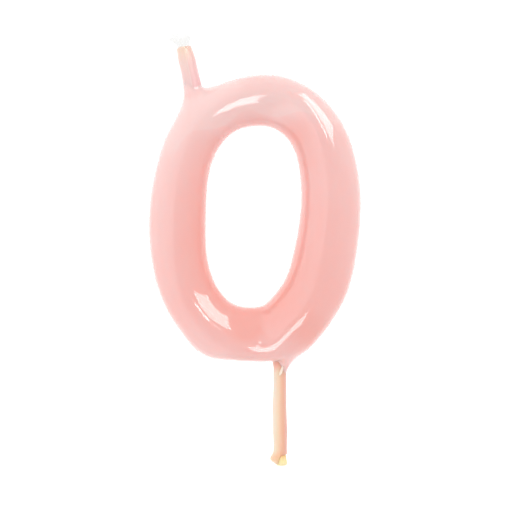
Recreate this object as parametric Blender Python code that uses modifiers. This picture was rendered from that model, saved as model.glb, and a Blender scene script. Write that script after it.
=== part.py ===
"""Number birthday candle: a hand-dipped wax "0" on a thin wooden cake stick, with a plaited cotton wick.

The frame is +Z up with the digit facing -Y. The origin is the centre of the stick's lower cut end.
Everything is in metres. The wick and the rope of wax round it lie in the plane Y = 0.
"""

import math

import bmesh
import bpy
from mathutils import Matrix, Vector

MM = 0.001
X = Vector((1.0, 0.0, 0.0))
Y = Vector((0.0, 1.0, 0.0))
FOOT_CENTRE = Vector((0.0, 0.0, 0.0))

# The digit. Each row is x, z and tube radius in millimetres, clockwise from the crown as seen from the
# front. A uniform cubic B-spline through this cage gives the centreline and the outside of the tube.
DIGIT_CAGE_MM = (
    (-4.7, 89.5, 6.1),
    (0.8, 89.2, 6.4),
    (9.2, 83.1, 6.3),
    (12.2, 71.6, 6.9),
    (12.5, 61.9, 7.1),
    (10.7, 48.4, 7.6),
    (7.4, 40.3, 7.4),
    (0.8, 32.2, 7.5),
    (-7.4, 32.0, 6.1),
    (-14.8, 32.0, 7.2),
    (-21.3, 39.0, 6.4),
    (-24.9, 48.5, 6.5),
    (-25.3, 60.7, 7.0),
    (-24.2, 72.6, 6.1),
    (-20.7, 81.9, 6.2),
    (-13.2, 88.3, 5.7),
)
DIGIT_STATIONS = 80
DIGIT_BEVEL_RESOLUTION = 5
SLOPE_STEP = 1e-4

# Layers of the digit, from the outside in.
COAT_THICKNESS = 0.8 * MM
LAYER_GAP = 0.2 * MM
CHANNEL_RADIUS = 1.6 * MM

# The wick stub at the upper left leans to the left of vertical.
STUB_TOP = Vector((-23.5, 0.0, 102.0)) * MM
STUB_LEAN = math.radians(11.5)
STUB_AXIS = Vector((-math.sin(STUB_LEAN), 0.0, math.cos(STUB_LEAN)))
STUB_LENGTH = 15.0 * MM
STUB_COLLAR_TOP = 10.6 * MM
STUB_COLLAR_FOOT = 17.5 * MM
STUB_COLLAR_FOOT_RADIUS = 5.0 * MM
WICK_SLEEVE_RADIUS = 2.0 * MM
WICK_SLEEVE_BORE_RADIUS = 1.5 * MM

# The wick is three strands plaited flat. It runs down the left of the digit and once round. Turns are
# fractions of the way round the digit, clockwise from the crown.
STRANDS = 3
PLAIT_HALF_WIDTH = 0.85 * MM
PLAIT_HALF_DEPTH = 0.6 * MM
PLAIT_PITCH = 12.0 * MM
STRAND_RADIUS = 0.34 * MM
STRAND_BEVEL_RESOLUTION = 1
STRAND_STEP = 1.4 * MM
TUFT_STEP = 0.6 * MM
TUFT_LENGTH = 3.6 * MM
TUFT_LEAN = math.radians(14.0)
TUFT_SPREAD = 1.0
WICK_ENTRY = 0.855
WICK_END_GAP = 0.5 * MM

# The rope's two ends meet at this turn. The slab that parts them is wider than the tube by this factor.
ROPE_JOINT = 0.955
ROPE_JOINT_GAP = 0.3 * MM
ROPE_JOINT_REACH = 3.0

# The stick that holds the candle in a cake, and the thin wax skin on it.
STICK_RADIUS = 1.2 * MM
STICK_LENGTH = 29.2 * MM
STICK_EDGE = 0.15 * MM
STICK_SLEEVE_RADIUS = 1.6 * MM
STICK_SLEEVE_FOOT = 2.0 * MM
STICK_SLEEVE_TOP = 28.5 * MM
STICK_SLEEVE_LIP = 0.35 * MM
STICK_SLEEVE_LIP_FADE = 2.1 * MM
STICK_COLLAR_TIP = Vector((0.0, 0.0, 24.0)) * MM
STICK_COLLAR_BASE = Vector((1.2, 0.0, 28.6)) * MM
STICK_COLLAR_BASE_RADIUS = 3.9 * MM
COLLAR_RIM = 0.35 * MM

ROUND_SIDES = 20
CHANNEL_BEVEL_RESOLUTION = 2
STICK_EDGE_SEGMENTS = 2
MERGE_DISTANCE = 0.001 * MM
SMOOTH_ANGLE = math.radians(35.0)


def clear_scene():
    """Removes what the startup file holds."""
    for obj in list(bpy.data.objects):
        bpy.data.objects.remove(obj)


def new_collection(name):
    collection = bpy.data.collections.new(name)
    bpy.context.scene.collection.children.link(collection)
    return collection


def material(name, colour, roughness):
    """A plain non-metal surface."""
    made = bpy.data.materials.new(name)
    made.use_nodes = True
    surface = made.node_tree.nodes["Principled BSDF"]
    surface.inputs["Base Color"].default_value = (*colour, 1.0)
    surface.inputs["Roughness"].default_value = roughness
    surface.inputs["Metallic"].default_value = 0.0
    return made


def mesh_object(name, mesh, collection):
    made = bpy.data.objects.new(name, mesh)
    collection.objects.link(made)
    return made


def mark_cutter(obj):
    """Keeps a cutter out of renders and shows it as wire."""
    obj.hide_render = True
    obj.display_type = "WIRE"
    return obj


def finish_part(obj, surface):
    """Gives a part its material and smooth shading on its round faces."""
    obj.data.materials.clear()
    obj.data.materials.append(surface)
    obj.data.shade_smooth()
    obj.data.set_sharp_from_angle(angle=SMOOTH_ANGLE)
    return obj


# The digit's centreline


def cubic_weights(u):
    """The four uniform cubic B-spline weights at u, from 0 to 1 along a span."""
    return (
        (1 - u) ** 3 / 6,
        (3 * u**3 - 6 * u**2 + 4) / 6,
        (-3 * u**3 + 3 * u**2 + 3 * u + 1) / 6,
        u**3 / 6,
    )


def digit_station(turn):
    """Centre and outer radius of the tube at turn, from 0 at the crown to 1 once round clockwise."""
    count = len(DIGIT_CAGE_MM)
    place = (turn % 1.0) * count
    first = math.floor(place)
    centre = Vector((0.0, 0.0, 0.0))
    radius = 0.0
    for offset, weight in enumerate(cubic_weights(place - first)):
        x, z, r = DIGIT_CAGE_MM[(first + offset - 1) % count]
        centre += weight * MM * Vector((x, 0.0, z))
        radius += weight * MM * r
    return centre, radius


def digit_tangent(turn):
    """Unit vector along the tube, clockwise."""
    return (digit_station(turn + SLOPE_STEP)[0] - digit_station(turn - SLOPE_STEP)[0]).normalized()


def digit_speed(turn):
    """Length of centreline for each unit of turn."""
    chord = digit_station(turn + SLOPE_STEP)[0] - digit_station(turn - SLOPE_STEP)[0]
    return chord.length / (2 * SLOPE_STEP)


# Tubes


def tube_mesh(name, points, radii, bevel_resolution, cyclic=False):
    """A closed mesh swept along points from a curve with a round bevel."""
    curve = bpy.data.curves.new(name, "CURVE")
    curve.dimensions = "3D"
    curve.bevel_depth = radii[0]
    curve.bevel_resolution = bevel_resolution
    curve.use_fill_caps = not cyclic
    spline = curve.splines.new("POLY")
    spline.points.add(len(points) - 1)
    spline.use_cyclic_u = cyclic
    for control, place, radius in zip(spline.points, points, radii):
        control.co = (*place, 1.0)
        control.radius = radius / radii[0]
    guide = bpy.data.objects.new(name, curve)
    bpy.context.scene.collection.objects.link(guide)
    graph = bpy.context.evaluated_depsgraph_get()
    mesh = bpy.data.meshes.new_from_object(guide.evaluated_get(graph))
    mesh.name = name
    bpy.data.objects.remove(guide)
    weld = bmesh.new()
    weld.from_mesh(mesh)
    bmesh.ops.remove_doubles(weld, verts=weld.verts, dist=MERGE_DISTANCE)
    bmesh.ops.recalc_face_normals(weld, faces=weld.faces)
    weld.to_mesh(mesh)
    weld.free()
    return mesh


def digit_tube(name, inset):
    """The whole ring of the digit, with its surface inset under the outside of the wax."""
    turns = [i / DIGIT_STATIONS for i in range(DIGIT_STATIONS)]
    stations = [digit_station(turn) for turn in turns]
    centres = [centre for centre, _ in stations]
    radii = [radius - inset for _, radius in stations]
    return tube_mesh(name, centres, radii, DIGIT_BEVEL_RESOLUTION, cyclic=True)


def cone_mesh(name, start, end, start_radius, end_radius):
    """A closed cone frustum, or a cylinder, between two points."""
    axis = end - start
    cone = bmesh.new()
    bmesh.ops.create_cone(
        cone,
        cap_ends=True,
        segments=ROUND_SIDES,
        radius1=start_radius,
        radius2=end_radius,
        depth=axis.length,
    )
    turn = axis.to_track_quat("Z", "Y").to_matrix().to_4x4()
    cone.transform(Matrix.Translation((start + end) / 2) @ turn)
    mesh = bpy.data.meshes.new(name)
    cone.to_mesh(mesh)
    cone.free()
    return mesh


def turned_object(name, profile, collection):
    """A closed profile of (radius, height) points, listed outer side first from the top, turned once."""
    outline = bmesh.new()
    corners = [outline.verts.new((radius, 0.0, height)) for radius, height in profile]
    for a, b in zip(corners, corners[1:] + corners[:1]):
        outline.edges.new((a, b))
    mesh = bpy.data.meshes.new(name)
    outline.to_mesh(mesh)
    outline.free()
    turned = mesh_object(name, mesh, collection)
    screw = turned.modifiers.new("turn", "SCREW")
    screw.steps = ROUND_SIDES
    screw.render_steps = ROUND_SIDES
    screw.use_merge_vertices = True
    screw.merge_threshold = MERGE_DISTANCE
    return turned


def cut(obj, cutter):
    """Takes the cutter's shape out of obj."""
    difference = obj.modifiers.new("cut_" + cutter.name, "BOOLEAN")
    difference.operation = "DIFFERENCE"
    difference.object = cutter


def join(obj, addition):
    """Adds the addition's shape to obj, as one body."""
    union = obj.modifiers.new("join_" + addition.name, "BOOLEAN")
    union.operation = "UNION"
    union.object = addition


# The wick


def stub_point(depth):
    """Point on the stub's axis, depth below its top."""
    return STUB_TOP - STUB_AXIS * depth


def hermite(start, start_slope, end, end_slope, u):
    """Point at u, from 0 to 1, on the cubic with these ends and slopes."""
    return (
        (2 * u**3 - 3 * u**2 + 1) * start
        + (u**3 - 2 * u**2 + u) * start_slope
        + (-2 * u**3 + 3 * u**2) * end
        + (u**3 - u**2) * end_slope
    )


def wick_path(top, step, end_gap):
    """Points along the wick: down the stub, over to the centreline, then anticlockwise to the joint."""
    points = []
    depth = -top
    while depth < STUB_LENGTH:
        points.append(stub_point(depth))
        depth += TUFT_STEP if depth < 0 else step
    leave = stub_point(STUB_LENGTH)
    arrive = digit_station(WICK_ENTRY)[0]
    reach = (arrive - leave).length
    count = round(reach / step)
    for i in range(count):
        slope_in = -STUB_AXIS * reach
        slope_out = -digit_tangent(WICK_ENTRY) * reach
        points.append(hermite(leave, slope_in, arrive, slope_out, i / count))
    end = ROPE_JOINT - 1.0
    end += end_gap / digit_speed(end)
    turn = WICK_ENTRY
    while turn - end > step / digit_speed(turn):
        points.append(digit_station(turn)[0])
        turn -= step / digit_speed(turn)
    points.append(digit_station(end)[0])
    return points


def strand_points(index):
    """Centreline of one of the three plaited strands. Its top end splays out into the tuft."""
    path = wick_path(TUFT_LENGTH, STRAND_STEP, WICK_END_GAP)
    points = []
    travelled = 0.0
    for i, here in enumerate(path):
        ahead = path[min(i + 1, len(path) - 1)]
        behind = path[max(i - 1, 0)]
        along = (ahead - behind).normalized()
        side = Vector((along.z, 0.0, -along.x))
        phase = 2 * math.pi * (travelled / PLAIT_PITCH + index / STRANDS)
        above = max(0.0, (here - STUB_TOP).dot(STUB_AXIS)) / TUFT_LENGTH
        spread = 1 + TUFT_SPREAD * above
        lean = -X * math.tan(TUFT_LEAN) * TUFT_LENGTH * above**2
        across = side * PLAIT_HALF_WIDTH * spread * math.sin(phase)
        through = Y * PLAIT_HALF_DEPTH * math.sin(2 * phase)
        points.append(here + across + through + lean)
        travelled += (ahead - here).length
    return points


def wick_strand(index, surface, collection):
    """One of the three cotton strands."""
    name = f"wick_strand_{index + 1}"
    points = strand_points(index)
    mesh = tube_mesh(name, points, [STRAND_RADIUS] * len(points), STRAND_BEVEL_RESOLUTION)
    return finish_part(mesh_object(name, mesh, collection), surface)


# Cutters shared by several parts


def cavity_cutter(collection):
    """The room inside the coat: the rope of wax and the gap round it."""
    mesh = digit_tube("coat_cavity", COAT_THICKNESS)
    return mark_cutter(mesh_object("coat_cavity", mesh, collection))


def channel_cutter(collection):
    """The wick's way through the rope, from outside the stub to the joint."""
    points = wick_path(0.0, digit_speed(0.0) / DIGIT_STATIONS, 0.0)
    mesh = tube_mesh("wick_channel", points, [CHANNEL_RADIUS] * len(points), CHANNEL_BEVEL_RESOLUTION)
    return mark_cutter(mesh_object("wick_channel", mesh, collection))


def rod_cutter(name, start, end, radius, collection):
    """A round rod that bores a straight hole."""
    return mark_cutter(mesh_object(name, cone_mesh(name, start, end, radius, radius), collection))


def joint_cutter(collection):
    """A thin slab across the tube where the rope's end meets its start."""
    centre, radius = digit_station(ROPE_JOINT)
    slab = bmesh.new()
    bmesh.ops.create_cube(slab, size=1.0)
    width = ROPE_JOINT_REACH * radius
    slab.transform(Matrix.Diagonal((width, width, ROPE_JOINT_GAP, 1.0)))
    turn = digit_tangent(ROPE_JOINT).to_track_quat("Z", "Y").to_matrix().to_4x4()
    slab.transform(Matrix.Translation(centre) @ turn)
    mesh = bpy.data.meshes.new("rope_joint")
    slab.to_mesh(mesh)
    slab.free()
    return mark_cutter(mesh_object("rope_joint", mesh, collection))


# Parts


def core_rope(surface, collection, cutters):
    """The rope of pale wax, bent round until its end meets its start. The wick runs through it."""
    mesh = digit_tube("core_rope", COAT_THICKNESS + LAYER_GAP)
    rope = mesh_object("core_rope", mesh, collection)
    cut(rope, channel_cutter(cutters))
    cut(rope, joint_cutter(cutters))
    socket_end = Vector((0.0, 0.0, STICK_LENGTH + LAYER_GAP))
    socket_radius = STICK_RADIUS + LAYER_GAP
    cut(rope, rod_cutter("stick_socket", STICK_COLLAR_TIP, socket_end, socket_radius, cutters))
    return finish_part(rope, surface)


def ring_coat(surface, collection, cutters, cavity):
    """The pink dipped skin of the digit, with a collar of wax round the stub and another round the stick."""
    coat = mesh_object("ring_coat", digit_tube("ring_coat", 0.0), collection)
    stub_hole = WICK_SLEEVE_RADIUS + LAYER_GAP
    stick_hole = STICK_SLEEVE_RADIUS + LAYER_GAP
    stub_collar = cone_mesh(
        "stub_collar",
        stub_point(STUB_COLLAR_FOOT),
        stub_point(STUB_COLLAR_TOP),
        STUB_COLLAR_FOOT_RADIUS,
        stub_hole + COLLAR_RIM,
    )
    stick_collar = cone_mesh(
        "stick_collar",
        STICK_COLLAR_TIP,
        STICK_COLLAR_BASE,
        stick_hole + COLLAR_RIM,
        STICK_COLLAR_BASE_RADIUS,
    )
    join(coat, mark_cutter(mesh_object("stub_collar", stub_collar, cutters)))
    join(coat, mark_cutter(mesh_object("stick_collar", stick_collar, cutters)))
    cut(coat, cavity)
    stub_way = (stub_point(STUB_COLLAR_FOOT), stub_point(0.0))
    stick_way = (FOOT_CENTRE, Vector((0.0, 0.0, STICK_LENGTH)))
    cut(coat, rod_cutter("stub_hole", *stub_way, stub_hole, cutters))
    cut(coat, rod_cutter("stick_hole", *stick_way, stick_hole, cutters))
    return finish_part(coat, surface)


def wick_sleeve(surface, collection, cavity):
    """Thin wax tube on the wick stub, cut at its foot to the curve of the rope."""
    profile = (
        (WICK_SLEEVE_RADIUS, 0.0),
        (WICK_SLEEVE_RADIUS, -STUB_COLLAR_FOOT),
        (WICK_SLEEVE_BORE_RADIUS, -STUB_COLLAR_FOOT),
        (WICK_SLEEVE_BORE_RADIUS, 0.0),
    )
    sleeve = turned_object("wick_sleeve", profile, collection)
    sleeve.location = STUB_TOP
    sleeve.rotation_euler = (0.0, -STUB_LEAN, 0.0)
    cut(sleeve, cavity)
    return finish_part(sleeve, surface)


def stick_sleeve(surface, collection, cavity):
    """Thin wax tube on the stick, with a small lip where the dipped wax ran down and set."""
    bore = STICK_RADIUS + LAYER_GAP / 2
    lip = STICK_SLEEVE_RADIUS + STICK_SLEEVE_LIP
    profile = (
        (STICK_SLEEVE_RADIUS, STICK_SLEEVE_TOP),
        (STICK_SLEEVE_RADIUS, STICK_SLEEVE_FOOT + STICK_SLEEVE_LIP_FADE),
        (lip, STICK_SLEEVE_FOOT + STICK_SLEEVE_LIP),
        (STICK_SLEEVE_RADIUS, STICK_SLEEVE_FOOT),
        (bore, STICK_SLEEVE_FOOT),
        (bore, STICK_SLEEVE_TOP),
    )
    sleeve = turned_object("stick_sleeve", profile, collection)
    cut(sleeve, cavity)
    return finish_part(sleeve, surface)


def support_stick(surface, collection):
    """The wooden stick. Its cut lower end is flat, and its top is set in the rope, short of the wick."""
    head = Vector((0.0, 0.0, STICK_LENGTH))
    mesh = cone_mesh("support_stick", FOOT_CENTRE, head, STICK_RADIUS, STICK_RADIUS)
    stick = mesh_object("support_stick", mesh, collection)
    edge = stick.modifiers.new("eased_ends", "BEVEL")
    edge.width = STICK_EDGE
    edge.segments = STICK_EDGE_SEGMENTS
    edge.limit_method = "ANGLE"
    return finish_part(stick, surface)


def build():
    clear_scene()
    candle = new_collection("number_candle_0")
    cutters = new_collection("cutters")
    pink_wax = material("pink_wax", (0.93, 0.50, 0.47), 0.12)
    thin_wax = material("thin_wax", (0.94, 0.66, 0.55), 0.2)
    pale_wax = material("pale_wax", (0.93, 0.78, 0.70), 0.4)
    cotton = material("cotton", (0.93, 0.92, 0.88), 0.9)
    wood = material("wood", (0.93, 0.80, 0.50), 0.6)

    cavity = cavity_cutter(cutters)
    core_rope(pale_wax, candle, cutters)
    ring_coat(pink_wax, candle, cutters, cavity)
    wick_sleeve(thin_wax, candle, cavity)
    stick_sleeve(thin_wax, candle, cavity)
    support_stick(wood, candle)
    for index in range(STRANDS):
        wick_strand(index, cotton, candle)


build()
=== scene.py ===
"""Looks of the number birthday candle: a hand-dipped pink wax "0" on a thin waxed stick.

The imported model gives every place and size. The pieces made here carry the fine shapes: the flowing skin of
wax, the thin wax on the wick and the stick, the drop of wax at the stick's top, and the frayed cotton.
Lengths are in metres, with +Z up, and the digit faces -Y.
"""

import math

import bpy
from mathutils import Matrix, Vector, noise
from mathutils.bvhtree import BVHTree

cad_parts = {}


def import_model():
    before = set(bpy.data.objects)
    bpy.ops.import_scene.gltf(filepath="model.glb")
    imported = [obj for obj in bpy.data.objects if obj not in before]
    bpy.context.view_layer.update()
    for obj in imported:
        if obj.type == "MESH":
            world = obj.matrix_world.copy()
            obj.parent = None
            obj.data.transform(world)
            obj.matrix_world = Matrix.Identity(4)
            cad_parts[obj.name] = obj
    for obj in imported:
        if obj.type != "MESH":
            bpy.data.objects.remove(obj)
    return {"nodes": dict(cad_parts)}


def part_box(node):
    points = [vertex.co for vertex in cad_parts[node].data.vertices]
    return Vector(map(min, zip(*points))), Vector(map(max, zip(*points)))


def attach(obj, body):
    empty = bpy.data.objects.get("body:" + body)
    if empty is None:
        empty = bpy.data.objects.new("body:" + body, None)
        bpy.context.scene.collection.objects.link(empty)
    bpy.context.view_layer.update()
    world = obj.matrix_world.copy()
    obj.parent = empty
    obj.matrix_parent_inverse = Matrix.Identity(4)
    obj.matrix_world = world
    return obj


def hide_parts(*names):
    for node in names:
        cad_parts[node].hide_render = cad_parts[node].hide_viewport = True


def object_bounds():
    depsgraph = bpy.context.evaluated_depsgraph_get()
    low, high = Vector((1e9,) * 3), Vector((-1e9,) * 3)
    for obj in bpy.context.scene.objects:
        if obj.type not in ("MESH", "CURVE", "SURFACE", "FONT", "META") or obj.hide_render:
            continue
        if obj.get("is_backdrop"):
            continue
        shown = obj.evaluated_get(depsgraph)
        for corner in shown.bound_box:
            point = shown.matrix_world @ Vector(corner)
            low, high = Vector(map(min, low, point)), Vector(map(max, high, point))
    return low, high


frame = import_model()
cad_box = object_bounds()

MM = 0.001
X = Vector((1.0, 0.0, 0.0))
Y = Vector((0.0, 1.0, 0.0))
Z = Vector((0.0, 0.0, 1.0))

# How the digit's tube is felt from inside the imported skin, and the shrink of its facets.
WALK_STEP = 2.5 * MM
WALK_SETTLES = 4
WALK_LEAST = 20
WALL_CLEARANCE = 0.05 * MM
FACET_SHRINK = 0.981

# The digit's skin. Its sides are closer together on the outside of the tube, by SKIN_REFINE.
SKIN_STATIONS = 520
SKIN_SIDES = 96
SKIN_REFINE = 0.55
SKIN_EXTRA = 0.28 * MM
DEPTH_STEPS = (-0.09, -0.06, -0.03, 0.0, 0.03, 0.06, 0.09)
TURN_STEP = 0.002
SEARCH_TURNS = 400
SKIN_WAVE = 0.14 * MM
SKIN_WAVE_SPAN = 11.0 * MM
SKIN_RIPPLE = 0.025 * MM
SKIN_RIPPLE_SPAN = 3.5 * MM
SKIN_RIPPLE_SHIFT = Vector((7.0, 3.0, 1.0))

# Where the skin runs up on to the stub and the stick: how far and in what steps that is looked for, how far
# its edge is tucked in, and how near to them it is looked for.
SKIN_CLIMB = 4.5 * MM
SKIN_CLIMB_STEP = 0.2 * MM
SKIN_HALVINGS = 5
SKIN_TUCK = 0.3 * MM
STUB_TUCK = 0.12 * MM
STUB_REACH = 20.0 * MM
STICK_REACH_UP = 2.0 * MM
STICK_REACH_ASIDE = 11.0 * MM

# The stations are closer together near both: by how much, and within what share of a turn.
CROWD_WEIGHT = 2.2
CROWD_REACH = 0.03
CROWD_FINENESS = 4

# Where the front of the skin isn't round: a place (x, z), how far its crest has moved (x, z) and how far
# round that place it has, all in millimetres. The wax sags at the bottom.
CREST_DRIFTS_MM = (
    ((-11.5, 87.6), (0.30, 0.91), 12.5),
    ((8.8, 85.4), (-0.43, 1.06), 6.5),
    ((-16.9, 38.4), (-1.78, -0.13), 11.3),
    ((-3.0, 31.0), (0.68, -2.65), 7.26),
    ((8.0, 37.0), (0.86, -0.07), 6.0),
    ((1.0, 88.5), (0.41, 0.88), 12.2),
    ((-11.0, 31.5), (0.30, -0.96), 6.5),
    ((3.0, 30.0), (-0.86, 0.41), 6.4),
)

# Where the wax stands out a little more, or less: a place (x, z), how much, and how far round it.
SWELLS_MM = (
    ((-19.1, 30.9), 0.79, 9.0),
    ((-4.8, 24.7), -0.28, 5.2),
    ((7.2, 27.4), 0.37, 3.4),
    ((-17.4, 92.0), 0.40, 2.5),
    ((-23.5, 32.0), -0.80, 5.0),
    ((-23.8, 90.0), -0.25, 3.5),
    ((-18.6, 27.4), -0.15, 5.0),
    ((-12.5, 26.0), -0.60, 4.0),
    ((-9.5, 38.5), -0.35, 6.0),
    ((3.0, 45.0), -0.32, 6.0),
    ((16.5, 84.0), 0.20, 8.0),
    ((22.0, 66.0), 0.38, 12.0),
    ((16.0, 39.5), 0.15, 6.0),
    ((-3.7, 83.5), -0.20, 6.0),
    ((6.5, 80.0), -0.20, 5.0),
    ((3.0, 62.0), -0.25, 11.0),
)

# Low waves on the front of the wax only, in the same way.
FRONT_SWELLS_MM = (
    ((-7.9, 29.1), 0.139, 2.3),
    ((-1.8, 28.75), -0.044, 4.4),
    ((4.5, 33.7), -0.064, 1.8),
    ((7.6, 36.6), 0.117, 4.6),
    ((7.0, 32.2), 0.092, 3.0),
    ((4.0, 28.8), -0.053, 3.7),
    ((12.25, 40.7), -0.106, 3.1),
    ((8.3, 25.6), 0.05, 4.0),
    ((-19.8, 40.3), 0.074, 3.6),
    ((-14.5, 35.4), 0.021, 2.9),
    ((-19.0, 36.1), 0.024, 2.9),
    ((9.8, 84.7), -0.149, 3.4),
    ((6.8, 91.1), 0.121, 3.3),
    ((-11.1, 87.1), 0.167, 3.7),
    ((-2.1, 29.1), 0.03, 3.8),
    ((-5.4, 30.4), 0.20, 0.9),
)

# The inner side of the tube is evened out along it: over how many stations each way, and how near the
# innermost line (which is 1) this begins and is complete.
INSIDE_EASE = 9
INSIDE_SPAN = (0.5, 0.95)

# The wick stub. Depths are measured down it from its top.
STUB_LEAN = math.radians(11.5)
STUB_LENGTH = 16.1 * MM
STUB_RISE = 0.3 * MM
STUB_BOW = 0.20 * MM
STUB_TOP_RADIUS = 1.80 * MM
STUB_MIDDLE_RADIUS = 2.08 * MM
STUB_FOOT_RADIUS = 2.2 * MM
STUB_MIDDLE_DEPTH = 4.0 * MM
STUB_FOOT_DEPTH = 13.0 * MM
STUB_EDGE_SHARE = 0.14
STUB_EDGE_DEPTH = 0.3 * MM
STUB_RIM = 0.06 * MM
STUB_RIM_WAVES = 3
STUB_RIM_DEPTH = 2.0 * MM
STUB_RINGS = 64

# The slow waves in the thin wax on the stub and on the stick: a height, a span, and the share of the height
# up the candle that counts, which draws them out along the piece.
STUB_SWELL = (0.10 * MM, 2.0 * MM, 0.4)
STICK_SWELL = (0.09 * MM, 1.7 * MM, 0.3)

# The skin's collar on the stub: its blend on the left and on the right, and the depths between which it is.
STUB_BLEND_LEFT = 5.0 * MM
STUB_BLEND_RIGHT = 3.0 * MM
STUB_BLEND_SPAN = (-1.5 * MM, 1.5 * MM)
STUB_SKIN_TOP = 7.0 * MM
STUB_SKIN_FOOT = 20.0 * MM

# The loose cotton fibres. Each starts on a spiral, leans outwards and to the left, and waves.
FIBRES = 220
FIBRE_STEPS = 6
FIBRE_RADIUS = 0.07 * MM
FIBRE_TAPER = 0.6
FIBRE_TURN = 2.4
FIBRE_SPREAD = 1.35 * MM
FIBRE_START = 0.2 * MM
FIBRE_LENGTH = 2.5 * MM
FIBRE_LENGTH_RANGE = 1.3 * MM
FIBRE_LEAN_ASIDE = 0.6
FIBRE_LEAN_LEFT = 0.15
FIBRE_LEAN_BACK = 0.5
FIBRE_WAVE = 0.5 * MM
FIBRE_WAVE_QUICKNESS = 2
FIBRE_WAVE_SHIFT = 5
FIBRE_SEED = Vector((0.0, 3.1, 8.4))
FIBRE_SEED_STEP = 1.7

# The thin wax's sides, and the stick's wax. Its end is higher on the right, where the wood is bare.
THIN_SIDES = 48
STICK_SLEEVE_LIP = 0.35 * MM
STICK_WAX_END_LEFT = 0.35 * MM
STICK_WAX_END_RIGHT = 2.4 * MM
STICK_WAX_END_SPAN = (0.40, 0.70)
STICK_WAX_RINGS = 150
STICK_WAX_CROWDING = 1.3
STICK_EDGE_SHARE = 0.22
STICK_EDGE_RISE = 0.5 * MM
STICK_LIP = 0.80 * MM
STICK_LIP_RISE = 1.25 * MM
STICK_LIP_BELOW = 0.8 * MM
STICK_LIP_ABOVE = 1.1 * MM

# How the stick's wax thickens on each side: from one height to another, and by how much.
STICK_LEFT_STEPS_MM = (
    (5.0, 9.0, 0.22),
    (15.0, 19.5, -0.20),
    (23.5, 26.0, 0.35),
)
STICK_RIGHT_STEPS_MM = (
    (-1.0, 0.0, 0.20),
    (8.0, 15.0, -0.20),
)

# The skin's collar on the stick, below this height.
STICK_BLEND_LEFT = 0.5 * MM
STICK_BLEND_RIGHT = 5.5 * MM
STICK_BLEND_SPAN = (-1.0 * MM, 1.5 * MM)
STICK_SKIN_TOP = 30.0 * MM

# The drop of wax that ran down the stick and set: its middle, half length, lean, radius and taper.
BEAD_MIDDLE = Vector((0.32, -1.62, 23.3)) * MM
BEAD_HALF_LENGTH = 1.3 * MM
BEAD_LEAN = 0.40 * MM
BEAD_RADIUS = 0.36 * MM
BEAD_TAPER = 0.25
BEAD_RINGS = 24
BEAD_SIDES = 20

# The wooden stick, whose cut foot is splayed on the right, rough, and eased at its edge.
WOOD_RINGS = 60
WOOD_CROWDING = 1.6
WOOD_SPLAY = 0.80 * MM
WOOD_SPLAY_RISE = 2.2 * MM
WOOD_GRAIN = 0.03 * MM
WOOD_GRAIN_AROUND = 4
WOOD_GRAIN_UP = 60
WOOD_EASE = 0.40 * MM
WOOD_EASE_RISE = 0.6 * MM

# Each wax: how rough it is, how much light scatters in it, and how far the red, green and blue go.
PINK_FINISH = (0.02, 0.85, (1.9 * MM, 1.2 * MM, 1.05 * MM))
THIN_SCATTER_REACH = (1.4 * MM, 0.8 * MM, 0.6 * MM)
STUB_FINISH = (0.35, 0.2, THIN_SCATTER_REACH)
STICK_FINISH = (0.22, 0.7, THIN_SCATTER_REACH)
PALE_FINISH = (0.4, 0.5, (1.5 * MM, 0.9 * MM, 0.7 * MM))
WAX_BEND = 1.45

# The ring's half width and half height along the tube's centreline, and the wax's colour from deep to pale:
# the deep end carries painted shade and the pale end painted light.
RING_HALF_SIZES = (18.5 * MM, 28.5 * MM)
PINK_STOPS = (
    (0.10, (0.90, 0.45, 0.40)),
    (0.50, (0.90, 0.51, 0.475)),
    (0.95, (0.90, 0.59, 0.565)),
    (1.00, (0.90, 0.63, 0.605)),
)

# Painted light and shade in the pink: it is paler higher above the ring's middle (painted light from above),
# paler towards the ring's outside (painted light) and deeper on its inner side (painted shade in the hole),
# and paler near its top or bottom (painted light). The right-hand side is more even across, and pinker high
# up (painted shade). Spans are from one value to another, and what they give at each.
PAINTED_LIGHT_UPWARDS = 11.0
PAINTED_LIGHT_OUTSIDE = (0.6, 1.2, 0.0, 0.75)
PAINTED_LIGHT_AT_ENDS = (18 * MM, 34 * MM, 0.0, 0.35)
RIGHT_SPAN = (4 * MM, 14 * MM, 0.0, 0.7)
BELOW_SPAN = (8 * MM, 22 * MM, 1.0, 0.2)
PAINTED_SHADE_UPPER_RIGHT = 0.35
PINK_MOTTLE = (140.0, 2.0)
PINK_MOTTLE_SHARE = 0.08

# Patches of painted shade, where the wax is painted deeper in colour (less than 0), or of painted light,
# where it
# is paler: a place (x, z), a reach, and how much.
PAINTED_SHADE_AND_LIGHT_PATCHES_MM = (
    ((8.0, 31.5), 8.5, -0.40),
    ((-22.0, 90.5), 6.5, -0.50),
    ((4.0, 81.5), 5.5, -0.30),
    ((-16.0, 86.0), 7.5, 0.40),
    ((-1.5, 90.0), 7.5, 0.35),
    ((-8.3, 33.5), 6.0, -0.45),
)

# The thin wax's colours, up each piece and from left to right across it, and where those ramps lie. The ramps
# across are painted light and shade: a painted highlight streak with painted shade on the stub's right, and
# painted light on the stick's left with painted shade on its right.
STUB_TINT_DEPTH = 14 * MM
STUB_TINT_ASIDE = 2 * MM
STUB_STOPS_UP = (
    (0.00, (0.86, 0.52, 0.51)),
    (0.50, (0.86, 0.60, 0.58)),
    (0.80, (0.87, 0.63, 0.58)),
    (1.00, (0.88, 0.66, 0.54)),
)
# Painted highlight: the bright streak at 0.60; painted shade: the deeper strip on the stub's right.
STUB_HIGHLIGHT_AND_SHADE_ACROSS = (
    (0.10, (0.99, 0.98, 0.99)),
    (0.54, (1.00, 1.00, 0.99)),
    (0.60, (1.05, 1.12, 1.10)),
    (0.65, (1.00, 0.93, 0.94)),
    (1.00, (1.00, 0.91, 0.95)),
)
STICK_TINT_HEIGHT = 29 * MM
STICK_TINT_ASIDE = 1.6 * MM
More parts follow.
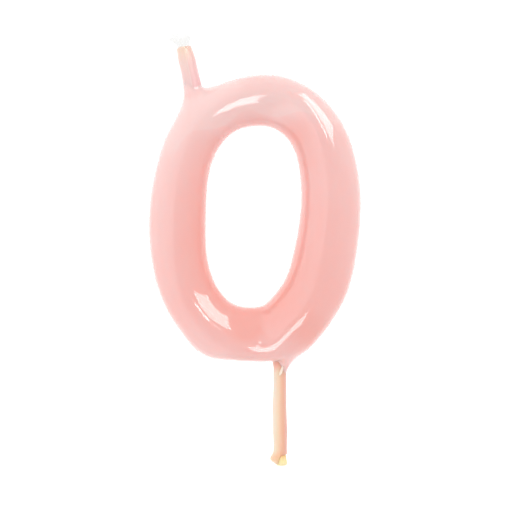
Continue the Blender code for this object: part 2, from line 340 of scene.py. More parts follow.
# Painted light: cream on the stick's left; painted shade: deeper orange on its right.
STICK_LIGHT_AND_SHADE_ACROSS = (
    (0.15, (0.87, 0.75, 0.62)),
    (0.42, (0.87, 0.68, 0.50)),
    (0.58, (0.85, 0.58, 0.42)),
    (0.80, (0.84, 0.50, 0.37)),
    (1.05, (0.82, 0.50, 0.44)),
)
STICK_STOPS_UP = (
    (0.13, (1.0, 0.80, 0.66)),
    (0.18, (0.99, 0.96, 0.92)),
    (0.45, (1.0, 0.98, 0.97)),
    (0.83, (1.0, 1.0, 1.0)),
    (0.91, (1.0, 0.62, 0.62)),
)

# Fine patterns: a scale, how much detail, and the stretch along x, y and z.
THIN_MOTTLE = (300.0, 3.0, (1.0, 1.0, 0.25))
THIN_MOTTLE_SHARE = 0.10
THIN_GRAIN = (700.0, 3.0, (1.0, 1.0, 0.2))
THIN_GRAIN_DEPTH = 0.008 * MM
PALE_GRAIN = (260.0,)
PALE_GRAIN_DEPTH = 0.03 * MM
BEAD_GRAIN = (900.0,)
WOOD_PORES = (1500.0, 4.0, (1.0, 1.0, 0.08))
WOOD_PORES_DEPTH = 0.06 * MM
COTTON_TWIST = {"Scale": 900.0, "Distortion": 2.0}
COTTON_TWIST_DEPTH = 0.05 * MM

# The other colours, as ramps over those patterns.
BEAD_ROUGHNESS = 0.1
# The drop's pale cream is partly a painted highlight.
BEAD_TINTS_AND_HIGHLIGHT = ((0.3, (0.98, 0.84, 0.70)), (0.7, (1.0, 0.87, 0.73)))
PALE_TINTS = ((0.3, (0.93, 0.74, 0.66)), (0.7, (0.96, 0.82, 0.75)))
WOOD_TINTS = ((0.3, (0.95, 0.74, 0.34)), (0.7, (1.0, 0.88, 0.52)))
COTTON_TINTS = ((0.0, (0.44, 0.43, 0.39)), (1.0, (0.48, 0.48, 0.48)))

# The bare cotton is lit until it is almost white, as if by its own faint glow.
COTTON_ROUGHNESS = 0.9
COTTON_SHEEN = 0.2
COTTON_GLOW = 0.53
COTTON_GLOW_COLOUR = (0.97, 0.98, 1.0, 1.0)

# The wood's finish, and its stain up from the cut end, where wax has soaked into it.
WOOD_ROUGHNESS = 0.55
WOOD_SCATTER = 0.3
WOOD_SCATTER_REACH = (0.8 * MM, 0.5 * MM, 0.3 * MM)
WOOD_STAIN = (0.0, 2.4 * MM)
WOOD_STOPS_UP = (
    (0.0, (0.98, 1.0, 1.1)),
    (0.45, (1.0, 1.0, 1.0)),
    (1.0, (0.95, 0.72, 0.55)),
)

# The camera and the floor.
LENS = 135.0
SENSOR = 36.0
PICTURE_WIDTH = 124.8 * MM
CAMERA_X = -6.12 * MM
CAMERA_HEIGHT = 51.4 * MM
NEAREST_SEEN = 0.01
WHITE = (1.0, 1.0, 1.0, 1.0)
FLOOR_RADIUS = 2.5
FLOOR_SIDES = 64
FLOOR_HEIGHTS = (-0.02, -0.0002)
FLOOR_GREY = (0.6, 0.6, 0.6, 1.0)
FLOOR_GLOW = 0.55
WHITE_SEEN = 1.1

# The light round the candle: an axis, where each ramp starts and ends along it, and its brightness there.
LIGHT_RAMPS = (
    ("Z", -1.0, 1.0, 1.15, 1.42),
    ("Y", -0.2, 1.0, 0.0, 0.15),
)

# What shines in the wax as well: a bright wall to the left that fades behind the candle, a white backdrop,
# and the studio's lamps, which are all in front of the candle. Each lamp is a rectangle on a sphere of
# radius 1 round the candle, seen flat from the front: its direction from the middle, anticlockwise from the
# right in degrees, how far out and how far aside its middle is, its half length outwards, its half width,
# and its brightness.
WALL_RAMPS = (
    ("X", -0.22, -0.18, 1.5, 0.0),
    ("Y", 0.0, 0.9, 1.0, 0.0),
)
BACKDROP_RAMP = ("Y", 0.2, 0.9, 0.0, 0.8)
LAMPS_IN_FRONT = ("Y", -0.02, 0.02, 1.0, 0.0)
LAMPS = (
    (46.9, 0.735, -0.019, 0.175, 0.237, 11.0),
    (43.1, 0.422, 0.025, 0.049, 0.075, 17.0),
    (-82.0, 0.336, 0.058, 0.216, 0.088, 11.0),
)
LAMP_EDGE = 0.015


# Shapes


def loft(name, rings, closed=False):
    """One closed skin through rings of points. Open ends are capped."""
    sides = len(rings[0])
    count = len(rings)
    points = [point for ring in rings for point in ring]
    faces = []
    for i in range(count if closed else count - 1):
        a = i * sides
        b = (i + 1) % count * sides
        for j in range(sides):
            k = (j + 1) % sides
            faces.append((a + j, a + k, b + k, b + j))
    if not closed:
        faces.append(tuple(range(sides))[::-1])
        faces.append(tuple(range((count - 1) * sides, count * sides)))
    mesh = bpy.data.meshes.new(name)
    mesh.from_pydata([tuple(p) for p in points], [], faces)
    mesh.shade_smooth()
    return add_to_scene(name, mesh)


def add_to_scene(name, data):
    obj = bpy.data.objects.new(name, data)
    bpy.context.scene.collection.objects.link(obj)
    return obj


def turns(count):
    """Evenly spaced angles once round."""
    return [2 * math.pi * i / count for i in range(count)]


def smooth_step(low, high, value):
    t = min(max((value - low) / (high - low), 0.0), 1.0)
    return t * t * (3 - 2 * t)


def mix(a, b, t):
    return a + (b - a) * t


def soft_min(a, b, reach):
    """The smaller of two distances, rounded where they are alike."""
    overlap = max(reach - abs(a - b), 0.0)
    return min(a, b) - overlap * overlap / (4 * reach)


def middle(node):
    low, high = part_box(node)
    return (Vector(low) + Vector(high)) / 2


# The digit's centreline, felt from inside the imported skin's cavity


def feel_tube(tree, place, along):
    """Centre and outer radius of the tube at place, from four rays to its wall."""
    out = Vector((-along.z, 0.0, along.x))
    rays = [(out * a + Y * b).normalized() for a in (-1, 1) for b in (-1, 1)]
    inner = [tree.ray_cast(place, ray)[0] for ray in rays]
    centre = sum(inner, Vector()) / len(rays)
    outer = [tree.ray_cast(hit + ray * WALL_CLEARANCE, ray)[0] for hit, ray in zip(inner, rays)]
    radius = sum((hit - centre).length for hit in outer) / len(rays)
    return centre, radius / FACET_SHRINK


def walk_digit():
    """Evenly spaced (centre, radius) stations once round the digit, clockwise from the right-hand side."""
    graph = bpy.context.evaluated_depsgraph_get()
    tree = BVHTree.FromObject(frame["nodes"]["ring_coat"], graph)
    low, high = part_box("ring_coat")
    depth = high[1] - low[1]
    place = Vector((high[0] - depth / 2, 0.0, (low[2] + high[2]) / 2))
    along = -Z
    stations = []
    while len(stations) < WALK_LEAST or (place - stations[0][0]).length > WALK_STEP:
        for _ in range(WALK_SETTLES):
            centre, radius = feel_tube(tree, place, along)
            place = centre
            if stations:
                along = (centre - stations[-1][0]).normalized()
        stations.append((centre, radius))
        place = centre + along * WALK_STEP
    return stations


def cubic(points, turn):
    """A closed uniform cubic B-spline through the neighbourhood of its points, turn from 0 to 1."""
    count = len(points)
    at = turn % 1.0 * count
    first = math.floor(at)
    u = at - first
    weights = (
        (1 - u) ** 3 / 6,
        (3 * u**3 - 6 * u**2 + 4) / 6,
        (-3 * u**3 + 3 * u**2 + 3 * u + 1) / 6,
        u**3 / 6,
    )
    return sum((points[(first + k - 1) % count] * w for k, w in enumerate(weights)), points[0] * 0)


def nearest_turn(centres, target):
    """The turn at which the centreline is nearest to a place."""
    tried = (i / SEARCH_TURNS for i in range(SEARCH_TURNS))
    return min(tried, key=lambda turn: (cubic(centres, turn) - target).length)


def crowded(count, places):
    """Turns from 0 to 1, closer together near the given places."""
    fine = CROWD_FINENESS * count
    weights = []
    for i in range(fine):
        gap = min(abs((i / fine - place + 0.5) % 1.0 - 0.5) for place in places)
        weights.append(1.0 + CROWD_WEIGHT * math.exp(-((gap / CROWD_REACH) ** 2)))
    total = sum(weights)
    found = []
    passed = 0.0
    for i, weight in enumerate(weights):
        while len(found) < count and passed + weight >= total * len(found) / count:
            found.append((i + (total * len(found) / count - passed) / weight) / fine)
        passed += weight
    return found


# The digit's skin


def stub_line():
    """Top of the waxed stub's axis, and the unit vector up it."""
    low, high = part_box("wick_sleeve")
    radius = (high[1] - low[1]) / 2
    across, rise = math.cos(STUB_LEAN), math.sin(STUB_LEAN)
    top = Vector((low[0] + radius * across, 0.0, high[2] - radius * rise))
    return top, Vector((-rise, 0.0, across))


def stub_side(up):
    """The unit vector to the right of the stub's axis."""
    return Vector((up.z, 0.0, -up.x))


def stick_radius():
    """Radius of the wax on the stick, above its lip."""
    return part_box("stick_sleeve")[1][1] - STICK_SLEEVE_LIP


def skin_gap(place, height, stub, stick):
    """How far a place, at this height over the plain tube, is outside the skin. Less than 0 is inside."""
    top, up = stub
    gap = height
    depth = (top - place).dot(up)
    if STUB_SKIN_TOP < depth < STUB_SKIN_FOOT:
        off = place - top + up * depth
        blend = mix(STUB_BLEND_LEFT, STUB_BLEND_RIGHT, smooth_step(*STUB_BLEND_SPAN, off.x))
        gap = soft_min(gap, off.length - STUB_FOOT_RADIUS + STUB_TUCK, blend)
    if place.z < STICK_SKIN_TOP:
        off = Vector((place.x, place.y, 0.0))
        blend = mix(STICK_BLEND_LEFT, STICK_BLEND_RIGHT, smooth_step(*STICK_BLEND_SPAN, off.x))
        gap = soft_min(gap, off.length - stick + SKIN_TUCK, blend)
    return gap


def skin_height(place, normal, stub, stick):
    """How far the skin stands out of the plain tube at place, to run up on to the stub or the stick."""

    def gap(height):
        return skin_gap(place + normal * height, height, stub, stick)

    if gap(0.0) >= 0:
        return 0.0
    low, high = 0.0, 0.0
    while gap(high) < 0 and high < SKIN_CLIMB:
        low = high
        high += SKIN_CLIMB_STEP
    for _ in range(SKIN_HALVINGS):
        half = (low + high) / 2
        if gap(half) < 0:
            low = half
        else:
            high = half
    return high


def near_a_collar(place, stub_top):
    """Whether place is near enough to the stub or the stick for the skin to run up on to it."""
    near_stick = place.z < STICK_SKIN_TOP + STICK_REACH_UP and abs(place.x) < STICK_REACH_ASIDE
    return near_stick or (place - stub_top).length < STUB_REACH


def skin_waves(place):
    """The small unevenness of the dipped wax."""
    slow = noise.noise(place / SKIN_WAVE_SPAN)
    quick = noise.noise(place / SKIN_RIPPLE_SPAN + SKIN_RIPPLE_SHIFT)
    return SKIN_WAVE * slow + SKIN_RIPPLE * quick


def nearness(place, x, z, reach):
    """1 at a place (x, z), fading to 0 beyond its reach. These are in millimetres."""
    gap = (place / MM - Vector((x, 0.0, z))).length / reach
    return math.exp(-gap * gap)


def crest_drift(place):
    """How far the front's crest has moved near place."""
    total = Vector((0.0, 0.0, 0.0))
    for (x, z), (drift_x, drift_z), reach in CREST_DRIFTS_MM:
        total += Vector((drift_x, 0.0, drift_z)) * MM * nearness(place, x, z, reach)
    return total


def swell(place, facing):
    """How much the wax stands out at place. Facing is 1 at the front of the tube, and 0 at its back."""
    total = sum(height * nearness(place, x, z, reach) for (x, z), height, reach in SWELLS_MM)
    flat = Vector((place.x, 0.0, place.z))
    for (x, z), height, reach in FRONT_SWELLS_MM:
        total += facing * height * nearness(flat, x, z, reach)
    return total * MM


def skin_angle(sweep):
    """The angle round the tube, from its outside, where a side of the skin lies."""
    return sweep - SKIN_REFINE * math.sin(sweep)


def skin_ring(centres, radii, turn, stub, stick):
    """The skin's points round the tube at one turn."""
    centre = cubic(centres, turn)
    radius = cubic(radii, turn) + SKIN_EXTRA
    depth = sum(cubic(radii, turn + step) for step in DEPTH_STEPS) / len(DEPTH_STEPS) + SKIN_EXTRA
    along = (cubic(centres, turn + TURN_STEP) - cubic(centres, turn - TURN_STEP)).normalized()
    out = Vector((-along.z, 0.0, along.x))
    drift = crest_drift(centre)
    ring = []
    for sweep in turns(SKIN_SIDES):
        angle = skin_angle(sweep)
        outwards, backwards = out * math.cos(angle), Y * math.sin(angle)
        normal = (outwards * depth + backwards * radius).normalized()
        place = centre + outwards * radius + backwards * depth
        place += drift * max(0.0, -math.sin(angle)) ** 2
        height = skin_height(place, normal, stub, stick) if near_a_collar(place, stub[0]) else 0.0
        ring.append(place + normal * (height + skin_waves(place) + swell(place, max(0.0, -normal.y))))
    return ring


def eased_inside(rings):
    """Evens out the inner side of the tube along its length, where the bends are tightest."""
    count = len(rings)
    steps = range(-INSIDE_EASE, INSIDE_EASE + 1)
    shares = [smooth_step(*INSIDE_SPAN, -math.cos(skin_angle(sweep))) for sweep in turns(SKIN_SIDES)]
    eased = []
    for i, ring in enumerate(rings):
        new = []
        for j, place in enumerate(ring):
            if shares[j] > 0:
                mean = sum((rings[(i + k) % count][j] for k in steps), Vector()) / len(steps)
                place = place.lerp(mean, shares[j])
            new.append(place)
        eased.append(new)
    return eased


def dipped_skin():
    """The thick pink skin of wax on the digit."""
    walked = walk_digit()
    centres = [centre for centre, _ in walked]
    radii = [radius for _, radius in walked]
    stub = stub_line()
    top, up = stub
    stick = stick_radius()
    collars = (top - up * STUB_FOOT_DEPTH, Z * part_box("stick_sleeve")[1][2])
    dense = [nearest_turn(centres, collar) for collar in collars]
    rings = [skin_ring(centres, radii, turn, stub, stick) for turn in crowded(SKIN_STATIONS, dense)]
    return loft("dipped_skin", eased_inside(rings), closed=True)


# The stub, the stick and what is on them


def stub_radius(depth):
    """Radius of the waxed stub, depth below its top."""
    upper = mix(STUB_TOP_RADIUS, STUB_MIDDLE_RADIUS, smooth_step(0.0, STUB_MIDDLE_DEPTH, depth))
    lower = smooth_step(STUB_MIDDLE_DEPTH, STUB_FOOT_DEPTH, depth)
    return upper + (STUB_FOOT_RADIUS - STUB_MIDDLE_RADIUS) * lower


def stub_wax():
    """Thin wax on the wick stub: a little bowed, narrower at its top, with a soft ragged rim."""
    top, up = stub_line()
    side = stub_side(up)
    rings = []
    for i in range(STUB_RINGS, -1, -1):
        share = i / STUB_RINGS
        depth = STUB_LENGTH * share
        bow = side * STUB_BOW * math.sin(math.pi * share)
        edge = 1 - smooth_step(0.0, STUB_EDGE_DEPTH, depth)
        radius = stub_radius(depth) * (1 - STUB_EDGE_SHARE * edge)
        raggedness = STUB_RIM * (1 - smooth_step(0.0, STUB_RIM_DEPTH, depth))
        ring = []
        for angle in turns(THIN_SIDES):
            normal = side * math.cos(angle) + Y * math.sin(angle)
            rim = raggedness * math.cos(STUB_RIM_WAVES * angle)
            place = top + up * (STUB_RISE + rim - depth) + bow + normal * radius
            ring.append(place + normal * thin_swell(place, *STUB_SWELL))
        rings.append(ring)
    return loft("stub_wax", rings)


def thin_swell(place, height, span, stretch):
    """Slow waves in thin wax, drawn out along its length."""
    return height * noise.noise(Vector((place.x, place.y, place.z * stretch)) / span)


def climb(steps, height):
    """The sum of smooth steps, each worth an amount from one height to another, all in millimetres."""
    return sum(amount * smooth_step(start, end, height / MM) for start, end, amount in steps) * MM


def stick_wax():
    """Thin wax on the stick, with a flared lip at the foot on the left."""
    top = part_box("stick_sleeve")[1][2]
    body = stick_radius()
    rings = []
    for i in range(STICK_WAX_RINGS + 1):
        share = (i / STICK_WAX_RINGS) ** STICK_WAX_CROWDING
        rings.append([stick_wax_point(angle, share, top, body) for angle in turns(THIN_SIDES)])
    return loft("stick_wax", rings)


def stick_wax_point(angle, share, top, body):
    """One point on the stick's wax, at this share of the way up its side."""
    normal = X * math.cos(angle) + Y * math.sin(angle)
    left = 0.5 - 0.5 * math.cos(angle)
    foot = mix(STICK_WAX_END_RIGHT, STICK_WAX_END_LEFT, smooth_step(*STICK_WAX_END_SPAN, left))
    z = mix(foot, top, share)
    rise = z - foot
    radius = body * (1 - STICK_EDGE_SHARE * (1 - smooth_step(0.0, STICK_EDGE_RISE, rise)))
    spread = STICK_LIP_BELOW if rise < STICK_LIP_RISE else STICK_LIP_ABOVE
    radius += STICK_LIP * left**3 * math.exp(-(((rise - STICK_LIP_RISE) / spread) ** 2))
    radius += left * climb(STICK_LEFT_STEPS_MM, z) + (1 - left) * climb(STICK_RIGHT_STEPS_MM, z)
    place = Z * z + normal * radius
    return place + normal * thin_swell(place, *STICK_SWELL)


def wax_bead():
    """A small drop of wax set on the front of the stick, fuller at its lower end."""
    rings = []
    for i in range(1, BEAD_RINGS):
        sweep = math.pi * i / BEAD_RINGS
        along = math.cos(sweep)
        radius = BEAD_RADIUS * math.sin(sweep) * (1 - BEAD_TAPER * along)
        centre = BEAD_MIDDLE + Z * BEAD_HALF_LENGTH * along + X * BEAD_LEAN * along
        around = reversed(turns(BEAD_SIDES))
        rings.append([centre + (X * math.cos(a) + Y * math.sin(a)) * radius for a in around])
    return loft("wax_bead", rings)


def cake_stick():
    """The wooden stick, with a cut foot that is a little splayed and rough."""
    low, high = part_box("support_stick")
    body = (high[1] - low[1]) / 2
    rings = []
    for i in range(WOOD_RINGS + 1):
        z = high[2] * (i / WOOD_RINGS) ** WOOD_CROWDING
        ease = WOOD_EASE * (1 - smooth_step(0.0, WOOD_EASE_RISE, z)) ** 2
        flare = WOOD_SPLAY * math.exp(-z / WOOD_SPLAY_RISE)
        ring = []
        for angle in turns(THIN_SIDES):
            normal = X * math.cos(angle) + Y * math.sin(angle)
            splay = flare * (0.5 + 0.5 * math.cos(angle)) ** 2
            grain = WOOD_GRAIN * noise.noise(normal * WOOD_GRAIN_AROUND + Z * z * WOOD_GRAIN_UP)
            ring.append(Z * z + normal * (body + splay + grain - ease))
        rings.append(ring)
    return loft("cake_stick", rings)


def fibre(i):
    """The places along one cotton fibre, from its root, each with its share of the way along."""
    top, up = stub_line()
    side = stub_side(up)
    seed = FIBRE_SEED + X * (i * FIBRE_SEED_STEP)
    right, back = math.cos(i * FIBRE_TURN), math.sin(i * FIBRE_TURN)
    spread = FIBRE_SPREAD * math.sqrt((i + 0.5) / FIBRES)
    root = top + up * FIBRE_START + (side * right + Y * back) * spread
    length = FIBRE_LENGTH + FIBRE_LENGTH_RANGE * noise.noise(seed)
    lean = side * (right * FIBRE_LEAN_ASIDE - FIBRE_LEAN_LEFT) + Y * back * FIBRE_LEAN_BACK
    for k in range(FIBRE_STEPS + 1):
        u = k / FIBRE_STEPS
        quick = u * FIBRE_WAVE_QUICKNESS
        aside = noise.noise(seed + X * quick)
        behind = noise.noise(seed + Y * quick + Z * FIBRE_WAVE_SHIFT)
        wave = Vector((aside, behind, 0.0)) * FIBRE_WAVE * u
        yield root + up * (length * u) + lean * length * u * u + wave, u


def wick_fuzz():
    """Loose cotton fibres round the bare end of the wick."""
    curve = bpy.data.curves.new("wick_fuzz", "CURVE")
    curve.dimensions = "3D"
    curve.bevel_depth = FIBRE_RADIUS
    curve.bevel_resolution = 1
    curve.use_fill_caps = True
    for i in range(FIBRES):
        spline = curve.splines.new("POLY")
        spline.points.add(FIBRE_STEPS)
        for point, (place, u) in zip(spline.points, fibre(i)):
            point.co = (*place, 1.0)
            point.radius = 1.0 - FIBRE_TAPER * u
    return add_to_scene("wick_fuzz", curve)


# Materials


class Nodes:
    """Short calls for building a node tree."""

    def __init__(self, tree):
        self.tree = tree

    def add(self, kind, **settings):
        node = self.tree.nodes.new(kind)
        for key, value in settings.items():
            setattr(node, key, value)
        return node

    def feed(self, node, values):
        """Gives each named or numbered input a number, a vector, or another node's output."""
        for key, value in values.items():
            if isinstance(value, bpy.types.NodeSocket):
                self.tree.links.new(value, node.inputs[key])
            else:
                node.inputs[key].default_value = value

    def math(self, operation, *values):
        node = self.add("ShaderNodeMath", operation=operation)
        self.feed(node, dict(enumerate(values)))
        return node.outputs["Value"]

    def vector(self, operation, *values, result="Vector"):
        node = self.add("ShaderNodeVectorMath", operation=operation)
        self.feed(node, dict(enumerate(values)))
        return node.outputs[result]

    def split(self, vector):
        node = self.add("ShaderNodeSeparateXYZ")
        self.feed(node, {"Vector": vector})
        return {axis: node.outputs[axis] for axis in "XYZ"}

    def span(self, value, low, high, at_low=0.0, at_high=1.0, kind="SMOOTHSTEP"):
        """Goes from at_low to at_high while value goes from low to high."""
        node = self.add("ShaderNodeMapRange", interpolation_type=kind)
        ends = {"From Min": low, "From Max": high, "To Min": at_low, "To Max": at_high}
        self.feed(node, {"Value": value, **ends})
        return node.outputs["Result"]

    def between(self, share, a, b):
        node = self.add("ShaderNodeMix")
        self.feed(node, {"Factor": share, "A": a, "B": b})
        return node.outputs["Result"]


class Look(Nodes):
    """One material, whose values are those of its surface."""

    def __init__(self, name, **values):
        self.material = bpy.data.materials.new(name)
        self.material.use_nodes = True
        super().__init__(self.material.node_tree)
        self.surface = self.tree.nodes["Principled BSDF"]
        self.set(**values)

    def set(self, **values):
        self.feed(self.surface, {key.replace("_", " "): value for key, value in values.items()})

    def place(self):
        return self.add("ShaderNodeTexCoord").outputs["Object"]

    def noise(self, scale, detail=3.0, stretch=(1.0, 1.0, 1.0)):
        mapping = self.add("ShaderNodeMapping")
        self.feed(mapping, {"Vector": self.place(), "Scale": stretch})
        texture = self.add("ShaderNodeTexNoise")
        self.feed(texture, {"Vector": mapping.outputs["Vector"], "Scale": scale, "Detail": detail})
        return texture.outputs["Fac"]

    def ramp(self, value, stops):
        """The colour at value, from stops that each have a position and a colour."""
        node = self.add("ShaderNodeValToRGB")
        while len(node.color_ramp.elements) < len(stops):
            node.color_ramp.elements.new(0.5)
        for element, (position, colour) in zip(node.color_ramp.elements, stops):
            element.position = position
            element.color = (*colour, 1.0)
        self.feed(node, {"Fac": value})
        return node.outputs["Color"]

    def bump(self, height, distance):
        node = self.add("ShaderNodeBump")
        self.feed(node, {"Height": height, "Distance": distance, "Strength": 1.0})
        self.set(Normal=node.outputs["Normal"])


def wax(name, roughness, scatter, reach):
    """A smooth, slightly translucent wax."""
    return Look(
        name,
        Roughness=roughness,
        IOR=WAX_BEND,
        Subsurface_Weight=scatter,
        Subsurface_Radius=reach,
        Subsurface_Scale=1.0,
    )


def pink_wax():
    """Pink wax with painted shade on the inner side of the ring and painted light on its outer side, higher
    up and near its top and bottom.
    """
    look = wax("pink_wax", *PINK_FINISH)
    centred = look.vector("SUBTRACT", look.place(), middle("ring_coat"))
    offset = look.split(centred)
    half_width, half_height = RING_HALF_SIZES
    scaled = look.vector("MULTIPLY", centred, (1 / half_width, 0.0, 1 / half_height))
    out = look.vector("LENGTH", scaled, result="Value")
    right = look.span(offset["X"], *RIGHT_SPAN)
    right_below = look.math("MULTIPLY", right, look.span(offset["Z"], *BELOW_SPAN))
    # Painted shade on the ring's inner side and painted light on its outer side.
    outside = look.span(look.between(right_below, out, 1.0), *PAINTED_LIGHT_OUTSIDE, kind="LINEAR")
    # Painted light: paler higher up, and near the ring's top and bottom.
    higher = look.math("MULTIPLY_ADD", offset["Z"], PAINTED_LIGHT_UPWARDS, outside)
    ends = look.span(look.math("ABSOLUTE", offset["Z"]), *PAINTED_LIGHT_AT_ENDS)
    paler = look.math("ADD", higher, ends)
    # Painted shade: deeper pink high on the right.
    upper_right = look.math("SUBTRACT", right_below, right)
    pinker = look.math("MULTIPLY_ADD", upper_right, PAINTED_SHADE_UPPER_RIGHT, paler)
    # Patches of painted shade and painted light.
    patched = with_painted_shade_and_light(look, pinker)
    mottled = look.math("MULTIPLY_ADD", look.noise(*PINK_MOTTLE), PINK_MOTTLE_SHARE, patched)
    look.set(Base_Color=look.ramp(mottled, PINK_STOPS))
    return look.material


def with_painted_shade_and_light(look, paleness):
    """Paleness, with each patch of painted shade (deeper) or painted light (paler) added."""
    flat = look.vector("MULTIPLY", look.place(), (1.0, 0.0, 1.0))
    for (x, z), reach, amount in PAINTED_SHADE_AND_LIGHT_PATCHES_MM:
        gap = look.vector("DISTANCE", flat, (x * MM, 0.0, z * MM), result="Value")
        paleness = look.math("ADD", paleness, look.span(gap, 0.0, reach * MM, amount, 0.0))
    return paleness


def thin_wax(name, finish, tints):
    """Thin wax over a pale core. Each tint is a ramp from one place to another, and they multiply."""
    look = wax(name, *finish)
    mottle = look.noise(*THIN_MOTTLE)
    colour = None
    for start, end, stops in tints:
        centred = look.vector("SUBTRACT", look.place(), start)
        run = end - start
        along = look.vector("DOT_PRODUCT", centred, run / run.length_squared, result="Value")
        tint = look.ramp(look.math("MULTIPLY_ADD", mottle, THIN_MOTTLE_SHARE, along), stops)
        colour = look.vector("MULTIPLY", colour, tint) if colour else tint
    look.set(Base_Color=colour)
    look.bump(look.noise(*THIN_GRAIN), THIN_GRAIN_DEPTH)
    return look.material


def stub_wax_look():
    top, up = stub_line()
    side = stub_side(up)
    return thin_wax("stub_wax", STUB_FINISH, (
        (top - up * STUB_TINT_DEPTH, top, STUB_STOPS_UP),
        # Across the stub: a painted highlight streak and painted shade on its right.
        (top - side * STUB_TINT_ASIDE, top + side * STUB_TINT_ASIDE, STUB_HIGHLIGHT_AND_SHADE_ACROSS),
    ))


def stick_wax_look():
    return thin_wax("stick_wax", STICK_FINISH, (
        # Across the stick: painted light on the left and painted shade on the right.
        (X * -STICK_TINT_ASIDE, X * STICK_TINT_ASIDE, STICK_LIGHT_AND_SHADE_ACROSS),
        (Z * 0.0, Z * STICK_TINT_HEIGHT, STICK_STOPS_UP),
    ))


def drop_wax_and_highlight():
    # A drop of wax painted pale cream, partly as a painted highlight on it.
    look = Look("drop_wax_and_highlight", Roughness=BEAD_ROUGHNESS, IOR=WAX_BEND)
    look.set(Base_Color=look.ramp(look.noise(*BEAD_GRAIN), BEAD_TINTS_AND_HIGHLIGHT))
    return look.material


def pale_wax():
    look = wax("pale_wax", *PALE_FINISH)
    grain = look.noise(*PALE_GRAIN)
    look.set(Base_Color=look.ramp(grain, PALE_TINTS))
    look.bump(grain, PALE_GRAIN_DEPTH)
    return look.material


def cotton():
    look = Look("cotton", Roughness=COTTON_ROUGHNESS, Sheen_Weight=COTTON_SHEEN)
    look.set(Emission_Strength=COTTON_GLOW, Emission_Color=COTTON_GLOW_COLOUR)
    twist = look.add("ShaderNodeTexWave", bands_direction="DIAGONAL")
    look.feed(twist, {"Vector": look.place(), **COTTON_TWIST})
    look.set(Base_Color=look.ramp(twist.outputs["Fac"], COTTON_TINTS))
    look.bump(twist.outputs["Fac"], COTTON_TWIST_DEPTH)
    return look.material


def wood():
    look = Look("wood", Roughness=WOOD_ROUGHNESS, Subsurface_Weight=WOOD_SCATTER)
    look.set(Subsurface_Scale=1.0, Subsurface_Radius=WOOD_SCATTER_REACH)
    pores = look.noise(*WOOD_PORES)
    height = look.span(look.split(look.place())["Z"], *WOOD_STAIN, kind="LINEAR")
    stain = look.ramp(height, WOOD_STOPS_UP)
    look.set(Base_Color=look.vector("MULTIPLY", look.ramp(pores, WOOD_TINTS), stain))
    look.bump(pores, WOOD_PORES_DEPTH)
    return look.material


def paint(obj, material):
    obj.data.materials.clear()
    obj.data.materials.append(material)


# The stage


def floor():
    """A wide pale floor just under the stick's foot. Only the camera sees it."""
    look = Look("floor_white", Roughness=1.0, Base_Color=FLOOR_GREY)
    look.set(Emission_Color=WHITE, Emission_Strength=FLOOR_GLOW)
    rings = [
        [Vector((FLOOR_RADIUS * math.cos(a), FLOOR_RADIUS * math.sin(a), z)) for a in turns(FLOOR_SIDES)]
        for z in FLOOR_HEIGHTS
    ]
    obj = loft("floor", rings)
    paint(obj, look.material)
    obj.visible_diffuse = False
    obj.visible_glossy = False
    obj.visible_shadow = False
    obj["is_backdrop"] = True


def lamp(nodes, toward, degrees, out, aside, half_length, half_width):
    """1 in the directions where a lamp is, with a soft edge, and 0 elsewhere."""
    turn = math.radians(degrees)
    sides = ((turn, out, half_length), (turn + math.pi / 2, aside, half_width))
    inside = []
    for angle, centre, half in sides:
        sideways = nodes.math("MULTIPLY", toward["X"], math.cos(angle))
        along = nodes.math("MULTIPLY_ADD", toward["Z"], math.sin(angle), sideways)
        gap = nodes.math("ABSOLUTE", nodes.math("SUBTRACT", along, centre))
        inside.append(nodes.span(gap, half - LAMP_EDGE, half + LAMP_EDGE, 1.0, 0.0))
    return nodes.math("MULTIPLY", *inside)


def studio_shine(nodes, toward):
    """How bright the wall, the backdrop and the lamps are in each direction."""

    def ramp(axis, *ends):
        return nodes.span(toward[axis], *ends)

    wall = nodes.math("MULTIPLY", *(ramp(*ends) for ends in WALL_RAMPS))
    shine = nodes.math("ADD", wall, ramp(*BACKDROP_RAMP))
    front = ramp(*LAMPS_IN_FRONT)
    for *place, glow in LAMPS:
        lit = nodes.math("MULTIPLY", lamp(nodes, toward, *place), front)
        shine = nodes.math("MULTIPLY_ADD", lit, glow, shine)
    return shine


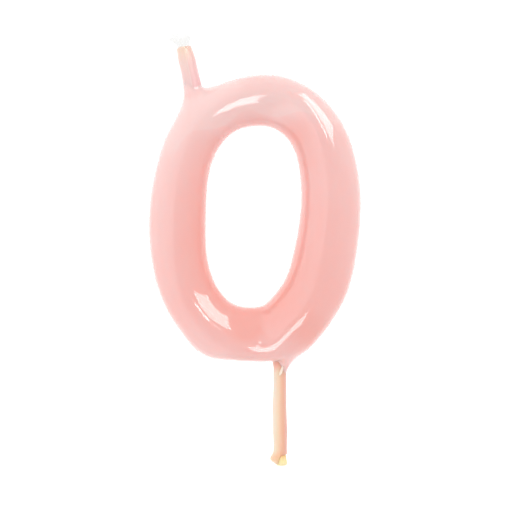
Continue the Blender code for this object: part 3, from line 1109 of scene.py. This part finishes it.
def world():
    """White to the camera. The candle sees a soft studio, with lamps that only its shine picks up."""
    made = bpy.data.worlds.new("studio")
    bpy.context.scene.world = made
    made.use_nodes = True
    nodes = Nodes(made.node_tree)
    toward = nodes.split(nodes.add("ShaderNodeTexCoord").outputs["Generated"])
    rays = nodes.add("ShaderNodeLightPath").outputs
    total = nodes.math("MULTIPLY", studio_shine(nodes, toward), rays["Is Glossy Ray"])
    for axis, *ends in LIGHT_RAMPS:
        total = nodes.math("ADD", total, nodes.span(toward[axis], *ends))
    unseen = nodes.add("ShaderNodeBackground")
    nodes.feed(unseen, {"Strength": total})
    seen = made.node_tree.nodes["Background"]
    nodes.feed(seen, {"Color": WHITE, "Strength": WHITE_SEEN})
    both = nodes.add("ShaderNodeMixShader")
    lights = {1: unseen.outputs["Background"], 2: seen.outputs["Background"]}
    nodes.feed(both, {"Fac": rays["Is Camera Ray"], **lights})
    nodes.feed(made.node_tree.nodes["World Output"], {"Surface": both.outputs["Shader"]})


def camera():
    """Level with the middle of the candle and straight in front of it."""
    made = bpy.data.cameras.new("camera")
    made.lens = LENS
    made.sensor_width = SENSOR
    made.clip_start = NEAREST_SEEN
    obj = add_to_scene("camera", made)
    obj.location = (CAMERA_X, -LENS / SENSOR * PICTURE_WIDTH, CAMERA_HEIGHT)
    obj.rotation_euler = (math.pi / 2, 0.0, 0.0)
    bpy.context.scene.camera = obj


def add_piece(piece, material, slot, *replaced):
    """Paints a piece of the candle and fixes it to the candle's one body."""
    paint(piece, material)
    if replaced:
        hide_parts(*replaced)
    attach(piece, "root")


def main():
    add_piece(dipped_skin(), pink_wax(), "pink_wax", "ring_coat")
    add_piece(stub_wax(), stub_wax_look(), "thin_wax", "wick_sleeve")
    add_piece(stick_wax(), stick_wax_look(), "thin_wax", "stick_sleeve")
    add_piece(wax_bead(), drop_wax_and_highlight(), "thin_wax")
    add_piece(cake_stick(), wood(), "wood", "support_stick")
    bare_cotton = cotton()
    add_piece(wick_fuzz(), bare_cotton, "cotton")
    for name, node in frame["nodes"].items():
        if name.startswith("wick_strand"):
            paint(node, bare_cotton)
    paint(frame["nodes"]["core_rope"], pale_wax())
    floor()
    world()
    camera()
    bpy.context.scene.view_settings.view_transform = "Standard"


main()
boxes = {"cad": cad_box, "visual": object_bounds()}
{key: [list(corner) for corner in box] for key, box in boxes.items()}
